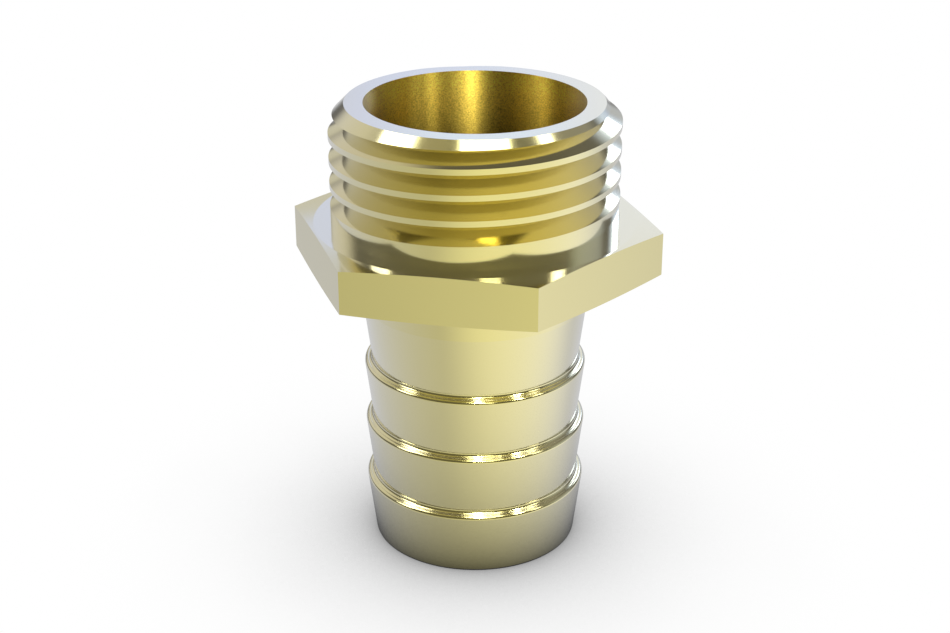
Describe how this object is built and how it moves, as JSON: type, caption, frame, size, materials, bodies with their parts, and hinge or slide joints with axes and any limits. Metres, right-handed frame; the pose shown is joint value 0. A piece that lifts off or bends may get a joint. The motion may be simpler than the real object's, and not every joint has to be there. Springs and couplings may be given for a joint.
{
  "type": "hose barb tail",
  "caption": "Brass hose tail with a barbed stem for a clamped hose, a spanner hexagon and a male parallel pipe thread, open right through.",
  "frame": {"origin": "on the axis, at the centre of the barbed tail's lower end face", "axes": "+Z along the axis from the barbed tail to the threaded end, +X through a corner of the hexagon, where the thread groove starts"},
  "size_m": [0.0274, 0.0238, 0.034],
  "materials": {
    "brass_body": "satin turned brass, bare"
  },
  "bodies": {
    "root": {"hose_tail_body": "brass_body"}
  },
  "joints": []
}
